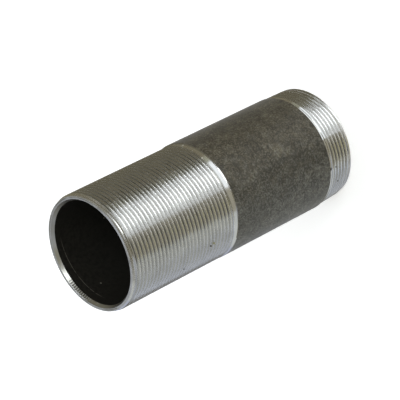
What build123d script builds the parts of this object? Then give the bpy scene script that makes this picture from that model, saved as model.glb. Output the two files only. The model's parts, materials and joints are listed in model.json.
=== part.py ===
from build123d import *
import os

# Long thread nipple for 2 inch (DN 50) steel pipe: one turned length of pipe with a long parallel
# thread on one end and a short taper thread on the other, so that it can be backed out of a
# coupling. It stands on its short end: Z is the pipe's axis, z = 0 lies on the short end's face,
# and the long thread is at the top. Sizes are in millimetres. Each thread is the blank over its
# crests: a plain cylinder for the parallel one, and a cone for the taper one.

# Pipe
length = 150.0
pipe_diameter = 60.3
wall = 3.6

# How far a thread's crests lie under the pipe's skin, which leaves 59.614 over a 2 inch thread
thread_step = 0.343

# Long parallel thread, with the smooth ring where the die washed out
long_thread = 65.0
run_out = 3.3
lead_length = 2.2
lead_width = 0.8

# Short taper thread: its gauge plane, where it has the full diameter, is next to the pipe's skin
short_thread = 15.9
taper = 1 / 16
tip_length = 0.4
tip_width = 0.2

# Bevel reamed inside both ends: its depth along the bore, and its width across the end face
bevel_depth = 1.6
bevel_width = 1.1

# Radii and heights that follow from the sizes above. The shoulders slope at 45 degrees, so each is
# as long as the step is high.
pipe_radius = pipe_diameter / 2
bore_radius = pipe_radius - wall
thread_radius = pipe_radius - thread_step
bevel_radius = bore_radius + bevel_width
long_shoulder = length - long_thread - run_out


def short_radius(height):
    """Radius over the short thread's crests, at a height above the short end."""
    return thread_radius - (short_thread - height) * taper / 2


# The wall's section on the X side of the axis, turned once round Z
with BuildPart() as pipe_nipple:
    with BuildSketch(Plane.XZ) as section:
        with BuildLine() as outline:
            outside = Polyline(
                (bevel_radius, 0),
                (short_radius(0) - tip_width, 0),
                (short_radius(tip_length), tip_length),
                (thread_radius, short_thread),
                (pipe_radius, short_thread + thread_step),
                (pipe_radius, long_shoulder - thread_step),
                (thread_radius, long_shoulder),
                (thread_radius, length - lead_length),
                (thread_radius - lead_width, length),
                (bevel_radius, length),
            )
            inside = Polyline(
                outside @ 1,
                (bore_radius, length - bevel_depth),
                (bore_radius, bevel_depth),
                outside @ 0,
            )
        make_face()
    revolve(axis=Axis.Z)

pipe_nipple.part.label = "pipe_nipple"

os.makedirs("parts", exist_ok=True)
export_step(pipe_nipple.part, "parts/pipe_nipple.step")
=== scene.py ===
"""Long thread nipple: one turned length of steel pipe, with both of its threads cut as real helical
grooves, its bright machined ends, the dark mill scale between them, and the studio it stands in."""

import json
import math

import bpy
from bpy.props import FloatProperty, FloatVectorProperty, IntProperty, PointerProperty
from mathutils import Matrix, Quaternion, Vector


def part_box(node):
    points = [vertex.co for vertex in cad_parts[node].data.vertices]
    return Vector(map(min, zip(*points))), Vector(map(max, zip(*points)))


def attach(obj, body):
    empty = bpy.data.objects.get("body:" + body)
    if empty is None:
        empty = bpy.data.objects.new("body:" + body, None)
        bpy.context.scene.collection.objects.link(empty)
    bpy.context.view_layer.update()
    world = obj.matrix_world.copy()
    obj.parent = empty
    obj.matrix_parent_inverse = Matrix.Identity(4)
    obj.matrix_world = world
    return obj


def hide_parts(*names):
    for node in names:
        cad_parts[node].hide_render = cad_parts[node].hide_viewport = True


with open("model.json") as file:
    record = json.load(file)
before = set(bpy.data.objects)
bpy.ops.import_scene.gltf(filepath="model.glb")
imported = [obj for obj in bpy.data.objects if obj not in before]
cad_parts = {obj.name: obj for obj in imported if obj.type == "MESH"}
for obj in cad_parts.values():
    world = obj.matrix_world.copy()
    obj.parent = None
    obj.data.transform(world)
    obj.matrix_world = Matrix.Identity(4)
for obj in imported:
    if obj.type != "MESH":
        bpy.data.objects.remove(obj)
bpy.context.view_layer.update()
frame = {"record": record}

bl_info = {
    "name": "Long Thread Nipple",
    "version": (1, 0, 0),
    "blender": (4, 5, 0),
    "location": "View3D > Sidebar > Nipple",
    "description": "Turns a pipe nipple, cuts its long and short threads, and finishes and lights it",
    "category": "Add Mesh",
}

MM = 0.001
INCH = 25.4 * MM
NODE = "pipe_nipple"
PIECE = "nipple"


def mount_radius(name):
    """The radius, in metres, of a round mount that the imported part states."""
    stated = next(m for m in frame["record"]["mounts"] if m["name"] == name)
    return stated["dims"]["r_mm"] * MM


def pipe_size():
    """The pipe's radius and length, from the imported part's box."""
    low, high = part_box(NODE)
    across = min(high.x - low.x, high.y - low.y)
    return across / 2, high.z - low.z


PIPE_RADIUS, PIPE_LENGTH = pipe_size()
BORE_RADIUS = mount_radius("bore")
THREAD_RADIUS = mount_radius("long_thread")


# Sizes, finishes and studio settings that a user would change


class NippleSizes(bpy.types.PropertyGroup):
    """Sizes of the turned pipe and of the threads on its two ends."""

    pipe_radius: FloatProperty(
        name="Pipe Radius", description="Outside radius of the plain pipe",
        default=PIPE_RADIUS, unit="LENGTH", precision=5)
    pipe_length: FloatProperty(
        name="Length", description="From end face to end face",
        default=PIPE_LENGTH, unit="LENGTH", precision=5)
    bore_radius: FloatProperty(
        name="Bore Radius", description="Inside radius of the pipe",
        default=BORE_RADIUS, unit="LENGTH", precision=5)
    thread_radius: FloatProperty(
        name="Thread Radius", description="Radius over the crests of the long thread",
        default=THREAD_RADIUS, unit="LENGTH", precision=5)
    pitch: FloatProperty(
        name="Pitch", description="From one thread crest to the next, 11 turns to the inch",
        default=INCH / 11, unit="LENGTH", precision=5)
    long_thread: FloatProperty(
        name="Long Thread", description="Length of the long thread from its end face",
        default=65 * MM, unit="LENGTH", precision=5)
    run_out: FloatProperty(
        name="Run-out", description="Smooth ring between the long thread and its shoulder",
        default=3.3 * MM, unit="LENGTH", precision=5)
    lead_length: FloatProperty(
        name="Lead Length", description="Length of the chamfer that leads into the long thread",
        default=2.2 * MM, unit="LENGTH", precision=5)
    lead_width: FloatProperty(
        name="Lead Width", description="Radial width of the chamfer that leads into the long thread",
        default=0.8 * MM, unit="LENGTH", precision=5)
    short_thread: FloatProperty(
        name="Short Thread", description="Length of the short taper thread",
        default=15.9 * MM, unit="LENGTH", precision=5)
    taper: FloatProperty(
        name="Taper", description="How fast the short thread's radius grows along the pipe",
        default=1 / 32, precision=5)
    tip_length: FloatProperty(
        name="Tip Length", description="Length of the chamfer on the short thread's end",
        default=0.4 * MM, unit="LENGTH", precision=5)
    tip_width: FloatProperty(
        name="Tip Width", description="Radial width of the chamfer on the short thread's end",
        default=0.2 * MM, unit="LENGTH", precision=5)
    bevel_depth: FloatProperty(
        name="Bevel Depth", description="Depth of the reamed bevels inside the two ends",
        default=1.6 * MM, unit="LENGTH", precision=5)
    bevel_width: FloatProperty(
        name="Bevel Width", description="Width of the reamed bevels across the end faces",
        default=1.1 * MM, unit="LENGTH", precision=5)
    long_lean: FloatProperty(
        name="Long Thread Off Centre",
        description="How far the long thread's axis lies off the pipe's, along X",
        default=-0.15 * MM, unit="LENGTH", precision=5)
    short_lean: FloatProperty(
        name="Short End Off Centre",
        description="How far the short thread's end face lies off the pipe's axis, along X",
        default=0.35 * MM, unit="LENGTH", precision=5)
    facets: IntProperty(
        name="Facets", description="Steps round the pipe's axis", default=144, min=24, max=256)


class NippleFinish(bpy.types.PropertyGroup):
    """Colours of the bare and the scaled steel."""

    bright: FloatVectorProperty(
        name="Bright Steel", description="Freshly cut thread, end faces and bevels",
        subtype="COLOR", size=3, default=(0.74, 0.735, 0.715))
    # Colour of the groove roots: oily dirt and painted shade
    grime: FloatVectorProperty(
        name="Groove Grime", description="Oily dirt in the roots of the threads",
        subtype="COLOR", size=3, default=(0.060, 0.054, 0.040))
    scale_dark: FloatVectorProperty(
        name="Dark Scale", description="Darkest mill scale on the plain pipe",
        subtype="COLOR", size=3, default=(0.062, 0.059, 0.048))
    scale_light: FloatVectorProperty(
        name="Light Scale", description="Rubbed mill scale on the plain pipe",
        subtype="COLOR", size=3, default=(0.330, 0.320, 0.280))
    # These browns colour random brown patches and also the side painted browner and darker: painted
    # shade and brownish reflection
    brown_dark: FloatVectorProperty(
        name="Dark Brown Scale", description="Darkest scale on the browner side of the pipe",
        subtype="COLOR", size=3, default=(0.050, 0.041, 0.025))
    brown_light: FloatVectorProperty(
        name="Light Brown Scale", description="Rubbed scale on the browner side of the pipe",
        subtype="COLOR", size=3, default=(0.280, 0.245, 0.170))
    bore: FloatVectorProperty(
        name="Bore", description="Scale inside the pipe",
        subtype="COLOR", size=3, default=(0.012, 0.011, 0.009))


class StudioSettings(bpy.types.PropertyGroup):
    """The camera and the floor."""

    camera_target: FloatVectorProperty(
        name="Camera Target", description="Point that the camera looks at",
        subtype="TRANSLATION", size=3, default=(-0.00071, 0.0, 0.07786))
    camera_distance: FloatProperty(
        name="Camera Distance", description="From the camera to its target",
        default=1.1353, unit="LENGTH", precision=4)
    camera_elevation: FloatProperty(
        name="Camera Elevation", description="Angle of the camera above the floor",
        default=math.radians(37.35), subtype="ANGLE")
    camera_roll: FloatProperty(
        name="Camera Roll",
        description="Turn about the line of sight that lays the nipple down in the picture",
        default=math.radians(116.77), subtype="ANGLE")
    lens: FloatProperty(
        name="Lens", description="Focal length in millimetres", default=210.1)
    floor: FloatVectorProperty(
        name="Floor", description="Colour of the floor",
        subtype="COLOR", size=3, default=(0.9, 0.9, 0.9))


# Modelling helpers

# Points that lie closer than this are merged
DOUBLES = 0.0001 * MM


def select_all(action="SELECT"):
    """Selects the whole mesh in edit mode, or with DESELECT nothing of it."""
    bpy.ops.mesh.select_all(action=action)


def start_point(name, place):
    """A new object that is one point at a place, selected and in edit mode."""
    bpy.ops.object.select_all(action="DESELECT")
    bpy.ops.mesh.primitive_plane_add(size=MM)
    drawn = bpy.context.object
    drawn.name = name
    bpy.ops.object.mode_set(mode="EDIT")
    bpy.ops.mesh.select_mode(type="VERT")
    select_all()
    bpy.ops.mesh.merge(type="CENTER")
    bpy.ops.transform.translate(value=place)
    return drawn


def draw_section(name, points):
    """A closed outline beside the axis, drawn by pulling one point from corner to corner."""
    section = start_point(name, (points[0][0], 0, points[0][1]))
    for (radius, height), (next_radius, next_height) in zip(points, points[1:]):
        step = (next_radius - radius, 0, next_height - height)
        bpy.ops.mesh.extrude_vertices_move(TRANSFORM_OT_translate={"value": step})
    select_all()
    bpy.ops.mesh.edge_face_add()
    bpy.ops.mesh.delete(type="ONLY_FACE")
    bpy.ops.object.mode_set(mode="OBJECT")
    return section


def tidy_mesh():
    """Merges doubles and turns every face outwards, in edit mode."""
    select_all()
    bpy.ops.mesh.remove_doubles(threshold=DOUBLES)
    bpy.ops.mesh.normals_make_consistent(inside=False)
    bpy.ops.object.mode_set(mode="OBJECT")


def short_radius(sizes, height):
    """Radius over the short thread's crests at a height above its end face."""
    return sizes.thread_radius - (sizes.short_thread - height) * sizes.taper


def wall_section(sizes):
    """The pipe wall's outline, from the short end's bevel up the outside and down the bore."""
    step = sizes.pipe_radius - sizes.thread_radius
    bevel = sizes.bore_radius + sizes.bevel_width
    shoulder = sizes.pipe_length - sizes.long_thread - sizes.run_out
    top = sizes.pipe_length
    return [
        (bevel, 0),
        (short_radius(sizes, 0) - sizes.tip_width, 0),
        (short_radius(sizes, sizes.tip_length), sizes.tip_length),
        (sizes.thread_radius, sizes.short_thread),
        (sizes.pipe_radius, sizes.short_thread + step),
        (sizes.pipe_radius, shoulder - step),
        (sizes.thread_radius, shoulder),
        (sizes.thread_radius, top - sizes.lead_length),
        (sizes.thread_radius - sizes.lead_width, top),
        (bevel, top),
        (sizes.bore_radius, top - sizes.bevel_depth),
        (sizes.bore_radius, sizes.bevel_depth),
    ]


# The form of the 55 degree pipe thread: its flanks, and its depth and rounding as shares of the pitch
FLANK_ANGLE = math.radians(27.5)
DEPTH_SHARE = 0.640327
ROUND_SHARE = 0.137329
ROOT_STEPS = 3
CREST_STEPS = 2

# Where a groove's outline leaves the crest's rounding, and how it goes on outside the blank
CREST_END = math.radians(12)
LIP = 0.05 * MM
LIP_RISE = 0.03 * MM
CLEARANCE = 0.5 * MM


def arc(centre, radius, start, end, steps):
    """Points on an arc in the section plane, each as its radius and height."""
    angles = [start + (end - start) * k / steps for k in range(steps + 1)]
    return [(centre[0] + radius * math.cos(a), centre[1] + radius * math.sin(a)) for a in angles]


def groove_section(sizes):
    """The outline of one thread groove: a rounded root, straight flanks and rounded crests."""
    pitch = sizes.pitch
    rounding = ROUND_SHARE * pitch
    root_centre = (sizes.thread_radius - DEPTH_SHARE * pitch + rounding, 0)
    crest_centre = (sizes.thread_radius - rounding, pitch / 2)
    quarter = math.pi / 2
    root = arc(root_centre, rounding, math.pi, quarter + FLANK_ANGLE, ROOT_STEPS)
    crest = arc(crest_centre, rounding, -quarter + FLANK_ANGLE, -CREST_END, CREST_STEPS)
    edge = crest[-1][1] + LIP_RISE
    outside = [(sizes.thread_radius + LIP, edge), (sizes.thread_radius + CLEARANCE, edge)]
    upper = root + crest + outside
    lower = [(radius, -height) for radius, height in reversed(upper[1:])]
    return lower + upper


def smooth_step(value):
    """0 below 0, 1 above 1 and smooth between."""
    value = min(1.0, max(0.0, value))
    return value * value * (3 - 2 * value)


def cut_thread(blank, sizes, start, turns, lift):
    """Cuts a right-handed helical groove. Lift gives how far out the groove lies at each height."""
    die = draw_section("thread_die", groove_section(sizes))
    screw = die.modifiers.new("Screw", "SCREW")
    screw.axis = "Z"
    screw.angle = math.tau
    screw.screw_offset = sizes.pitch
    screw.steps = screw.render_steps = sizes.facets
    screw.iterations = turns
    bpy.ops.object.modifier_apply(modifier=screw.name)
    bpy.ops.object.mode_set(mode="EDIT")
    select_all()
    bpy.ops.transform.translate(value=(0, 0, start))
    bpy.ops.mesh.remove_doubles(threshold=DOUBLES)
    select_all("DESELECT")
    bpy.ops.mesh.select_mode(type="EDGE")
    bpy.ops.mesh.select_non_manifold()
    bpy.ops.mesh.fill_holes(sides=0)
    tidy_mesh()
    for vertex in die.data.vertices:
        radius = math.hypot(vertex.co.x, vertex.co.y)
        grown = 1 + lift(vertex.co.z) / radius
        vertex.co.x *= grown
        vertex.co.y *= grown
    bpy.context.view_layer.objects.active = blank
    cut = blank.modifiers.new("Thread", "BOOLEAN")
    cut.operation = "DIFFERENCE"
    cut.solver = "MANIFOLD"
    cut.object = die
    bpy.ops.object.modifier_apply(modifier=cut.name)
    bpy.data.objects.remove(die)


# Shader helpers


class Value:
    """A shader value, on which Python's operators add Math nodes."""

    def __init__(self, finish, socket):
        self.finish = finish
        self.socket = socket

    def math(self, operation, *others):
        return self.finish.value("ShaderNodeMath", {"operation": operation}, self, *others)

    def __add__(self, other):
        return self.math("ADD", other)

    def __sub__(self, other):
        return self.math("SUBTRACT", other)

    def __mul__(self, other):
        return self.math("MULTIPLY", other)

    def __truediv__(self, other):
        return self.math("DIVIDE", other)

    def __rsub__(self, other):
        return self * -1.0 + other

    __radd__ = __add__
    __rmul__ = __mul__

    def between(self, low, high):
        """0 below low, 1 above high and smooth between; the other way round where low is the higher."""
        settings = {"interpolation_type": "SMOOTHSTEP"}
        if low < high:
            return self.finish.value("ShaderNodeMapRange", settings, self, low, high, 0.0, 1.0)
        return self.finish.value("ShaderNodeMapRange", settings, self, high, low, 1.0, 0.0)

    def within(self, stretch):
        """1 over the middle of a stretch, given as where it begins, is full, fades and ends."""
        begins, full, fades, ends = stretch
        return self.between(begins, full) * self.between(ends, fades)


def shown(sockets):
    """The sockets that a node with its settings uses."""
    return [socket for socket in sockets if socket.enabled]


# How far a mark's edge blurs, as a share of its radius
SPOT_BLUR = 0.3


class Finish:
    """A material while its nodes are added."""

    def __init__(self, name):
        self.material = bpy.data.materials.new(name)
        self.material.use_nodes = True
        self.tree = self.material.node_tree
        self.tree.nodes.clear()

    def node(self, kind, settings, *inputs, **named):
        """A node with its settings, then the values or links of its sockets, in order or by name."""
        node = self.tree.nodes.new(kind)
        for key, setting in settings.items():
            setattr(node, key, setting)
        pairs = list(zip(shown(node.inputs), inputs))
        pairs += [(node.inputs[key.replace("_", " ")], given) for key, given in named.items()]
        for socket, given in pairs:
            given = given.socket if isinstance(given, Value) else given
            if isinstance(given, bpy.types.NodeSocket):
                self.tree.links.new(given, socket)
            else:
                socket.default_value = given
        return node

    def value(self, kind, settings, *inputs, **named):
        """The first shown output of a new node, as a value."""
        node = self.node(kind, settings, *inputs, **named)
        return Value(self, shown(node.outputs)[0])

    def place(self):
        """The point's place in the part: the vector, then its X, Y and Z."""
        vector = self.node("ShaderNodeTexCoord", {}).outputs["Object"]
        parts = self.node("ShaderNodeSeparateXYZ", {}, vector)
        return vector, [Value(self, s) for s in parts.outputs]

    def noise(self, vector, size, detail=2.0, stretch=(1, 1, 1), roughness=0.5):
        """Noise from 0 to 1 whose grains are about size metres across, times stretch along each axis."""
        scale = [1 / (size * s) for s in stretch]
        placed = self.node("ShaderNodeMapping", {"vector_type": "POINT"}, vector, Scale=scale)
        return self.value("ShaderNodeTexNoise", {}, placed.outputs[0], Scale=1.0, Detail=detail,
                          Roughness=roughness)

    def spots(self, vector, marks):
        """1 inside each of the round marks, given as a centre and a radius, and 0 elsewhere."""
        total = 0.0
        for centre, radius in marks:
            centre = [c * MM for c in centre]
            away = self.value("ShaderNodeVectorMath", {"operation": "DISTANCE"}, vector, centre)
            total = away.between((1 + SPOT_BLUR) * radius * MM, (1 - SPOT_BLUR) * radius * MM) + total
        return total

    def mix(self, share, first, second):
        """A colour between two others, each a socket or its red, green and blue."""
        ends = [end if isinstance(end, bpy.types.NodeSocket) else (*end, 1.0) for end in (first, second)]
        settings = {"data_type": "RGBA", "clamp_factor": True}
        return shown(self.node("ShaderNodeMix", settings, share, *ends).outputs)[0]

    def surface(self, height, depth, constants, **varying):
        """The finished shader: its fixed numbers, what varies over the surface, and its relief."""
        bump = self.node("ShaderNodeBump", {}, Strength=1.0, Distance=depth, Height=height)
        shader = self.node("ShaderNodeBsdfPrincipled", {}, Normal=bump.outputs[0],
                           **constants, **varying)
        self.node("ShaderNodeOutputMaterial", {}, shader.outputs[0])
        return self.material


# Small marks, each with its centre and radius in millimetres
PITS = (
    ((-22.5, -19.3, 99.1), 0.50),
    ((-26.4, -13.6, 115.2), 0.40),
    ((-16.4, -24.5, 11.6), 0.35),
    ((-17.9, -23.5, 4.3), 0.40),
    ((-23.2, -18.2, 9.2), 0.40),
    ((-16.2, -24.7, 15.4), 0.80),
)
STAINS = (((-22.2, -19.8, 97.4), 0.8),)
# Pale spots, not metal, where burrs catch the light: painted glints
BURR_GLINTS = (
    ((26.6, -13.3, 82.2), 0.45),
    ((16.7, -24.5, 84.2), 0.50),
    ((19.1, -22.7, 107.8), 0.35),
)
PALE_PATCHES = (
    ((4.0, -29.8, 44.5), 3.6),
    ((7.0, -29.3, 49.0), 2.6),
    ((1.0, -30.1, 38.0), 2.4),
)
BORE_SPECKS = (
    ((-14.8, 22.0, 136.8), 0.45),
    ((12.4, 23.4, 117.1), 0.35),
    ((26.2, 4.5, 147.6), 0.9),
)
PIT_COLOUR = (0.03, 0.027, 0.022)
STAIN_COLOUR = (0.42, 0.38, 0.16)
BURR_GLINT_COLOUR = (0.75, 0.72, 0.62)
SPECK_COLOUR = (0.22, 0.21, 0.18)

# Stretches round the pipe: the angles from X at which each begins, is full, fades and ends
# Grooves are painted less dark on this stretch, which faces the camera and the front lamp: painted light
LAMP_LIT_FRONT = (-1.80, -1.62, -1.18, -1.02)
CHATTERED = (1.75, 1.95, 2.25, 2.45)
SCRATCHED = (1.0, 1.3, 2.3, 2.6)

# The other stretch of grooves painted less dark, where the side lamps fall, starts at the first of these
# angles and is full from the second on
LAMP_LIT_SIDE = (-2.00, -2.12)

# The share of dirt and painted shade in the grooves, and how much less it is on the two stretches
# painted lighter where the lamps fall
DIRT_AND_SHADE_SHARE = 0.85
FRONT_LIT_LIGHTER = 0.75
SIDE_LIT_LIGHTER = 0.75 * FRONT_LIT_LIGHTER

# How far the inner bevel's outer edge blurs, and how far outside it the grooves' dirt and painted shade
# start
EDGE_BLUR = 0.1 * MM
DIRT_AND_SHADE_GAP = 0.35 * MM

# The bevel's own finish is on the long end alone, and fades out between these depths below its face
BEVEL_FULL = 5 * MM
BEVEL_ENDS = 10 * MM

# Chatter marks in a full turn, and how many times as high as the turning lines they stand
TICKS = 134
TICK_HEIGHT = 40

# The scratch in the bore: its height at the angle 0, its fall for each radian, and how far from its
# middle it ends and is full
SCRATCH_HEIGHT = 146.4 * MM
SCRATCH_FALL = 1.2 * MM
SCRATCH_EDGES = (0.22 * MM, 0.08 * MM)

# The part of the bore painted paler as light falling into its mouth, which grows along the pipe towards
# the long end and towards one side
BORE_LIT_HEIGHTS = (95 * MM, 150 * MM)
BORE_LIT_SIDE = (-5 * MM, 26 * MM)

# Across the pipe, the mill scale is painted from grey to a darker brown between these places: painted
# shade and brownish reflection on that side
BROWN_SHADED_SIDE = (-20 * MM, 14 * MM)


def bright_steel(sizes, finish):
    """Threads, ends and shoulders as the die and the lathe left them, with dirt and painted shade in the
    groove roots, lightened where lamps fall, and painted glints on burrs.
    """
    steel = Finish("bright_steel")
    vector, (x, y, z) = steel.place()
    radius = (x * x + y * y).math("POWER", 0.5)
    crest = (z - sizes.short_thread).math("MINIMUM", 0.0) * sizes.taper + sizes.thread_radius
    depth = (crest - radius) / (DEPTH_SHARE * sizes.pitch)
    lines = steel.noise(vector, 0.12 * MM, 1.0, stretch=(250, 250, 1))
    clouds = steel.noise(vector, 6 * MM, 3.0)
    angle = y.math("ARCTAN2", x)

    bevel_edge = sizes.bore_radius + sizes.bevel_width
    dirt_and_shade_edge = bevel_edge + DIRT_AND_SHADE_GAP
    # Darker towards the groove roots: partly oily dirt, partly painted shade
    groove = depth.between(0.40, 1.0) * radius.between(dirt_and_shade_edge - EDGE_BLUR, dirt_and_shade_edge + EDGE_BLUR)
    # Painted light: the grooves are painted less dark on the stretches that face the front and side
    # lamps
    painted_lit_share = angle.within(LAMP_LIT_FRONT) * FRONT_LIT_LIGHTER + angle.between(*LAMP_LIT_SIDE) * SIDE_LIT_LIGHTER
    grime = groove * clouds.between(0.1, 0.6) * (DIRT_AND_SHADE_SHARE - painted_lit_share)

    long_end = z.between(sizes.pipe_length - BEVEL_ENDS, sizes.pipe_length - BEVEL_FULL)
    bevel = radius.between(bevel_edge + EDGE_BLUR, bevel_edge - EDGE_BLUR) * long_end
    chattered = angle.within(CHATTERED) * bevel
    ticks = (angle * TICKS).math("SINE").between(-0.5, 0.5) * chattered

    darker = [c * 0.75 for c in finish.bright]
    colour = steel.mix(clouds.between(0.3, 0.75) * 0.35, finish.bright, darker)
    colour = steel.mix(grime, colour, finish.grime)
    colour = steel.mix(ticks * 0.8, colour, finish.grime)
    pits = steel.spots(vector, PITS)
    stains = steel.spots(vector, STAINS) * 0.8
    # Painted glints: pale spots, not metal, where burrs catch the light
    burr_glints = steel.spots(vector, BURR_GLINTS)
    dull = grime * 0.8
    for mark, paint in ((pits, PIT_COLOUR), (stains, STAIN_COLOUR), (burr_glints, BURR_GLINT_COLOUR)):
        colour = steel.mix(mark, colour, paint)
        dull = dull.math("MAXIMUM", mark)
    rough = clouds * 0.10 + lines * 0.06 + dull * 0.25 + chattered * 0.1 + bevel * 0.12 + 0.11
    constants = {"Anisotropic": 0.55, "Anisotropic_Rotation": 0.25}
    height = lines + ticks * TICK_HEIGHT
    return steel.surface(height, 0.004 * MM, constants, Base_Color=colour, Roughness=rough,
                         Metallic=1 - dull)


def mill_scale(finish):
    """The plain pipe's skin: dark rolled scale in random brown patches, speckled and rubbed paler, with
    one side painted browner and darker as painted shade and brownish reflection.
    """
    scale = Finish("mill_scale")
    vector, (x, _, _) = scale.place()
    specks = scale.noise(vector, 0.9 * MM, 4.0, roughness=0.75)
    blotches = scale.noise(vector, 4 * MM, 3.0, roughness=0.6)
    patches = scale.noise(vector, 15 * MM, 2.0)
    hues = scale.noise(vector, 3 * MM, 2.0)
    pale = specks.between(0.46, 0.62) * 0.72 + blotches.between(0.35, 0.70) * 0.30
    rubbed = scale.spots(vector, PALE_PATCHES) * blotches.between(0.30, 0.55)
    pale = pale * (patches * 0.9 + 0.22) + rubbed * specks * 0.45
    # One side painted browner and darker, as painted shade and brownish reflection, mixed with random
    # brown patches
    brown_patches_and_shade = x.between(*BROWN_SHADED_SIDE) + (hues - 0.5) * 1.4
    dark = scale.mix(brown_patches_and_shade, finish.scale_dark, finish.brown_dark)
    light = scale.mix(brown_patches_and_shade, finish.scale_light, finish.brown_light)
    colour = scale.mix(pale, dark, light)
    rough = specks * 0.2 + 0.40
    constants = {"Metallic": 0.1, "Specular_IOR_Level": 0.34, "Sheen_Weight": 0.20,
                 "Sheen_Roughness": 0.4}
    return scale.surface(specks, 0.05 * MM, constants, Base_Color=colour, Roughness=rough)


def bore_scale(finish):
    """The inside of the pipe, nearly black, painted paler near the long end's mouth as light falling in,
    with a thin scratch round the long end.
    """
    bore = Finish("bore_scale")
    vector, (x, y, z) = bore.place()
    specks = bore.noise(vector, 1.5 * MM, 3.0)
    angle = y.math("ARCTAN2", x)
    scratch = (z + angle * SCRATCH_FALL - SCRATCH_HEIGHT).math("ABSOLUTE").between(*SCRATCH_EDGES)
    scratch = scratch * angle.within(SCRATCHED) * specks.between(0.3, 0.5)
    # Painted light: paler towards the long end's mouth and on the wall across from the camera's side
    lit_mouth = z.between(*BORE_LIT_HEIGHTS) * y.between(*BORE_LIT_SIDE)
    lit_mouth_colour = [c * 2.6 for c in finish.bore]
    colour = bore.mix(lit_mouth * specks.between(0.2, 0.7), finish.bore, lit_mouth_colour)
    marks = (scratch * 0.7).math("MAXIMUM", bore.spots(vector, BORE_SPECKS))
    colour = bore.mix(marks, colour, SPECK_COLOUR)
    rough = specks * 0.2 + 0.55
    constants = {"Metallic": 0.0, "Specular_IOR_Level": 0.25}
    return bore.surface(specks, 0.05 * MM, constants, Base_Color=colour, Roughness=rough)


# Operators

# How far out a groove is lifted, in groove depths: clear of the blank where it has washed out, and
# part of the way where it opens on the end's chamfer
CLEAR_OUT = 1.4
OPENED = 0.6

# How the long thread's groove starts, washes out and opens, in pitches. The chamfer's share is of
# its length.
LONG_START = 1.08
LONG_FADE_FROM = 0.1
LONG_WASH_OUT = 1.05
OPENING = 0.5
CHAMFER_SHARE = 1.1

# How the short thread's groove starts and washes out, in pitches
SHORT_START = 1.2
SHORT_FADE_FROM = 1.2
SHORT_WASH_OUT = 1.5

# Turns that each cut has beyond the length of its thread
SPARE_TURNS = 2


class NIPPLE_OT_turn_blank(bpy.types.Operator):
    """Turns the pipe wall's section round the axis into the plain blank"""

    bl_idname = "nipple.turn_blank"
    bl_label = "Turn Blank"

    def execute(self, context):
        sizes = context.scene.nipple_sizes
        blank = draw_section(PIECE, wall_section(sizes))
        bpy.ops.object.mode_set(mode="EDIT")
        select_all()
        bpy.ops.mesh.spin(steps=sizes.facets, angle=math.tau, center=(0, 0, 0), axis=(0, 0, 1))
        tidy_mesh()
        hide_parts(NODE)
        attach(blank, "root")
        return {"FINISHED"}


class NIPPLE_OT_cut_long_thread(bpy.types.Operator):
    """Cuts the long parallel thread, which washes out before the plain ring at its shoulder"""

    bl_idname = "nipple.cut_long_thread"
    bl_label = "Cut Long Thread"

    def execute(self, context):
        sizes = context.scene.nipple_sizes
        pitch = sizes.pitch
        bottom = sizes.pipe_length - sizes.long_thread
        turns = math.ceil(sizes.long_thread / pitch) + SPARE_TURNS
        lead = sizes.pipe_length - CHAMFER_SHARE * sizes.lead_length

        def lift(height):
            fade = smooth_step((bottom + LONG_FADE_FROM * pitch - height) / (LONG_WASH_OUT * pitch))
            entry = smooth_step((height - lead) / (OPENING * pitch))
            return DEPTH_SHARE * pitch * (CLEAR_OUT * fade + OPENED * entry)

        cut_thread(bpy.data.objects[PIECE], sizes, bottom - LONG_START * pitch, turns, lift)
        return {"FINISHED"}


class NIPPLE_OT_cut_short_thread(bpy.types.Operator):
    """Cuts the short taper thread, whose grooves get shallow towards the plain pipe"""

    bl_idname = "nipple.cut_short_thread"
    bl_label = "Cut Short Thread"

    def execute(self, context):
        sizes = context.scene.nipple_sizes
        pitch = sizes.pitch
        top = sizes.short_thread
        turns = math.ceil(top / pitch) + SPARE_TURNS

        def lift(height):
            fade = smooth_step((height - top + SHORT_FADE_FROM * pitch) / (SHORT_WASH_OUT * pitch))
            slope = short_radius(sizes, height) - sizes.thread_radius
            return slope + CLEAR_OUT * DEPTH_SHARE * pitch * fade

        cut_thread(bpy.data.objects[PIECE], sizes, -SHORT_START * pitch, turns, lift)
        return {"FINISHED"}


class NIPPLE_OT_set_off_centre(bpy.types.Operator):
    """Moves both threads a little off the pipe's axis, as the cutting machine left them"""

    bl_idname = "nipple.set_off_centre"
    bl_label = "Set Off Centre"

    def execute(self, context):
        sizes = context.scene.nipple_sizes
        shoulder = sizes.pipe_length - sizes.long_thread - sizes.run_out
        step = sizes.pipe_radius - sizes.thread_radius
        for vertex in bpy.data.objects[PIECE].data.vertices:
            above = smooth_step((vertex.co.z - shoulder + step) / step)
            below = 1 - min(1.0, vertex.co.z / (sizes.short_thread + step))
            vertex.co.x += above * sizes.long_lean + below * sizes.short_lean
        return {"FINISHED"}


# The places of the three finishes in the nipple's list of materials
BRIGHT, SCALE, BORE = range(3)

# A face that points outwards by less than this share is the bore's, and one whose centre comes this
# close to the pipe's skin has mill scale
OUTWARDS_LEAST = -0.9
SKIN_TOLERANCE = 0.01 * MM

# The angle from which an edge stays sharp, and how much a large face turns the normals beside it
SHARP_EDGE = math.radians(32)
FLAT_WEIGHT = 80


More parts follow.
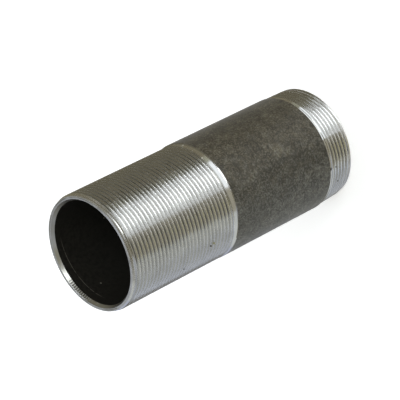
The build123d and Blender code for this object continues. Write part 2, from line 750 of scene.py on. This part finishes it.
class NIPPLE_OT_finish_steel(bpy.types.Operator):
    """Gives the cut steel, the mill scale and the bore their finishes"""

    bl_idname = "nipple.finish_steel"
    bl_label = "Finish Steel"

    def execute(self, context):
        sizes = context.scene.nipple_sizes
        finish = context.scene.nipple_finish
        nipple = bpy.data.objects[PIECE]
        nipple.data.materials.clear()
        for material in (bright_steel(sizes, finish), mill_scale(finish), bore_scale(finish)):
            nipple.data.materials.append(material)
        skin = sizes.pipe_radius * math.cos(math.pi / sizes.facets) - SKIN_TOLERANCE
        for face in nipple.data.polygons:
            radius = math.hypot(face.center.x, face.center.y)
            outwards = face.normal.x * face.center.x + face.normal.y * face.center.y
            if outwards < OUTWARDS_LEAST * radius:
                face.material_index = BORE
            elif radius > skin:
                face.material_index = SCALE
            else:
                face.material_index = BRIGHT
        bpy.ops.object.select_all(action="DESELECT")
        nipple.select_set(True)
        bpy.context.view_layer.objects.active = nipple
        bpy.ops.object.shade_smooth_by_angle(angle=SHARP_EDGE)
        flats = nipple.modifiers.new("Flat Flanks", "WEIGHTED_NORMAL")
        flats.keep_sharp = True
        flats.weight = FLAT_WEIGHT
        bpy.ops.object.modifier_apply(modifier=flats.name)
        return {"FINISHED"}


# The power, in watts for each square metre, with which a lamp's face shines at a strength of 1
LAMP_POWER = 4


def area_lamp(name, place, target, size, strength, colour):
    """A soft box at a place, turned to a target. White light at a strength of 1 looks white."""
    bpy.ops.object.light_add(type="AREA", location=place)
    lamp = bpy.context.object
    lamp.name = name
    aim = Vector(target) - Vector(place)
    lamp.rotation_euler = aim.to_track_quat("-Z", "Y").to_euler()
    lamp.data.shape = "RECTANGLE"
    lamp.data.size, lamp.data.size_y = size
    lamp.data.energy = strength * LAMP_POWER * size[0] * size[1]
    lamp.data.color = colour
    lamp.visible_camera = False


# A card's edges, as distances from the pipe's axis, its height over the floor and its facets
CARD_START = 1.08 * PIPE_RADIUS
CARD_REACH = 2.0
CARD_HEIGHT = 0.4 * MM
CARD_FACET = math.radians(5)


def floor_card(name, start, end, colour):
    """A flat card on the floor, between two angles from the camera's side, that only gloss shows."""
    outwards = Vector((-math.sin(start), -math.cos(start), 0))
    card = start_point(name, outwards * CARD_START + Vector((0, 0, CARD_HEIGHT)))
    across = outwards * (CARD_REACH - CARD_START)
    bpy.ops.mesh.extrude_vertices_move(TRANSFORM_OT_translate={"value": across})
    select_all()
    steps = max(2, round(abs(end - start) / CARD_FACET))
    bpy.ops.mesh.spin(steps=steps, angle=end - start, center=(0, 0, 0), axis=(0, 0, 1))
    bpy.ops.object.mode_set(mode="OBJECT")
    paint = Finish(name)
    light = paint.node("ShaderNodeEmission", {}, (*colour, 1))
    paint.node("ShaderNodeOutputMaterial", {}, light.outputs[0])
    card.data.materials.append(paint.material)
    card.visible_camera = card.visible_diffuse = card.visible_shadow = False


# Soft boxes under the ceiling, at its height and with one length. Each has its left and right edges
# as slopes from the nipple, how strongly it shines and its colour.
CEILING = 2.1
CEILING_LAMP_LENGTH = 3.0
CEILING_LAMPS = (
    ("overhead", 0.08, 0.44, 2.85, (0.88, 0.93, 1.0)),
    ("overhead_mid", -0.20, 0.08, 1.0, (0.92, 0.95, 1.0)),
    ("overhead_warm", -0.60, -0.20, 0.35, (1.0, 0.94, 0.46)),
)

# Soft boxes round the walls, at one distance from the point that they are turned to. Each has its
# angle from the camera's side, its angle above the floor, its size, strength and colour.
WALL = 2.2
WALL_TARGET = Vector((0, 0, 0.08))
WALL_LAMPS = (
    ("front", math.radians(-22), math.radians(40), (0.9, 0.94), 1.9, (0.95, 1.0, 0.97)),
    ("side_front", math.radians(70), math.radians(45), (1.6, 1.18), 0.34, (0.70, 0.79, 1.0)),
    ("side", math.radians(115), math.radians(42), (1.6, 1.96), 0.34, (0.70, 0.79, 1.0)),
    ("side_back", math.radians(160), math.radians(45), (1.6, 1.18), 0.34, (0.70, 0.79, 1.0)),
)

# Cards on the floor: start and end angles in degrees from the camera's side, and colour
FLOOR_CARDS = (
    ("card_far_right", -180, -64, (0.220, 0.200, 0.140)),
    ("card_right", -64, -50, (0.360, 0.360, 0.280)),
    ("card_front", -50, 4, (1.160, 1.220, 1.270)),
    ("card_dark", 4, 46, (0.380, 0.360, 0.290)),
    ("card_left", 46, 120, (0.620, 0.650, 0.645)),
    ("card_far_left", 120, 180, (0.490, 0.530, 0.650)),
)


# The floor's width, how much it glows where it is seen, and the light from all round
FLOOR_SIZE = 8
FLOOR_GLOW = 0.45
ROOM_LIGHT = (0.145, 0.134, 0.096)


class NIPPLE_OT_set_studio(bpy.types.Operator):
    """Sets the camera, the pale floor and the soft lamps"""

    bl_idname = "nipple.set_studio"
    bl_label = "Set Studio"

    def execute(self, context):
        studio = context.scene.nipple_studio
        bpy.ops.object.select_all(action="DESELECT")
        elevation = studio.camera_elevation
        back = Vector((0, -math.cos(elevation), math.sin(elevation)))
        target = Vector(studio.camera_target)
        bpy.ops.object.camera_add(location=target + back * studio.camera_distance)
        camera = bpy.context.object
        camera.rotation_mode = "QUATERNION"
        camera.rotation_quaternion = ((-back).to_track_quat("-Z", "Y")
                                      @ Quaternion((0, 0, 1), -studio.camera_roll))
        camera.data.lens = studio.lens
        camera.data.clip_start = 10 * MM
        context.scene.camera = camera

        bpy.ops.mesh.primitive_plane_add(size=FLOOR_SIZE)
        floor = bpy.context.object
        floor.name = "floor"
        paint = Finish("floor")
        rays = paint.node("ShaderNodeLightPath", {})
        seen = Value(paint, rays.outputs["Is Camera Ray"])
        for ray in ("Is Glossy Ray", "Is Transmission Ray"):
            seen = seen.math("MAXIMUM", Value(paint, rays.outputs[ray]))
        matt = paint.node("ShaderNodeBsdfDiffuse", {}, (*studio.floor, 1))
        glow = paint.node("ShaderNodeEmission", {}, (1, 1, 1, 1), seen * FLOOR_GLOW)
        both = paint.node("ShaderNodeAddShader", {}, matt.outputs[0], glow.outputs[0])
        paint.node("ShaderNodeOutputMaterial", {}, both.outputs[0])
        floor.data.materials.append(paint.material)

        world = context.scene.world or bpy.data.worlds.new("World")
        context.scene.world = world
        world.use_nodes = True
        world.node_tree.nodes["Background"].inputs["Color"].default_value = (*ROOM_LIGHT, 1)
        for name, left, right, strength, colour in CEILING_LAMPS:
            middle = CEILING * (left + right) / 2
            size = (CEILING * (right - left), CEILING_LAMP_LENGTH)
            area_lamp(name, (middle, 0, CEILING), (middle, 0, 0), size, strength, colour)
        for name, azimuth, rise, size, strength, colour in WALL_LAMPS:
            flat = math.cos(rise)
            place = Vector((-math.sin(azimuth) * flat, -math.cos(azimuth) * flat, math.sin(rise)))
            area_lamp(name, WALL_TARGET + place * WALL, WALL_TARGET, size, strength, colour)
        for name, start, end, colour in FLOOR_CARDS:
            floor_card(name, math.radians(start), math.radians(end), colour)
        context.scene.view_settings.view_transform = "Standard"
        return {"FINISHED"}


STEPS = (
    NIPPLE_OT_turn_blank,
    NIPPLE_OT_cut_long_thread,
    NIPPLE_OT_cut_short_thread,
    NIPPLE_OT_set_off_centre,
    NIPPLE_OT_finish_steel,
    NIPPLE_OT_set_studio,
)


class NIPPLE_PT_panel(bpy.types.Panel):
    """Lists the steps in the order in which they are run"""

    bl_label = "Long Thread Nipple"
    bl_space_type = "VIEW_3D"
    bl_region_type = "UI"
    bl_category = "Nipple"

    def draw(self, context):
        for step in STEPS:
            self.layout.operator(step.bl_idname)


GROUPS = {"nipple_sizes": NippleSizes, "nipple_finish": NippleFinish, "nipple_studio": StudioSettings}
CLASSES = (*GROUPS.values(), *STEPS, NIPPLE_PT_panel)


def register():
    for added in CLASSES:
        bpy.utils.register_class(added)
    for name, group in GROUPS.items():
        setattr(bpy.types.Scene, name, PointerProperty(type=group))


def unregister():
    for name in GROUPS:
        delattr(bpy.types.Scene, name)
    for added in reversed(CLASSES):
        bpy.utils.unregister_class(added)


def main():
    register()
    bpy.ops.nipple.turn_blank()
    bpy.ops.nipple.cut_long_thread()
    bpy.ops.nipple.cut_short_thread()
    bpy.ops.nipple.set_off_centre()
    bpy.ops.nipple.finish_steel()
    bpy.ops.nipple.set_studio()


if __name__ == "__main__":
    main()
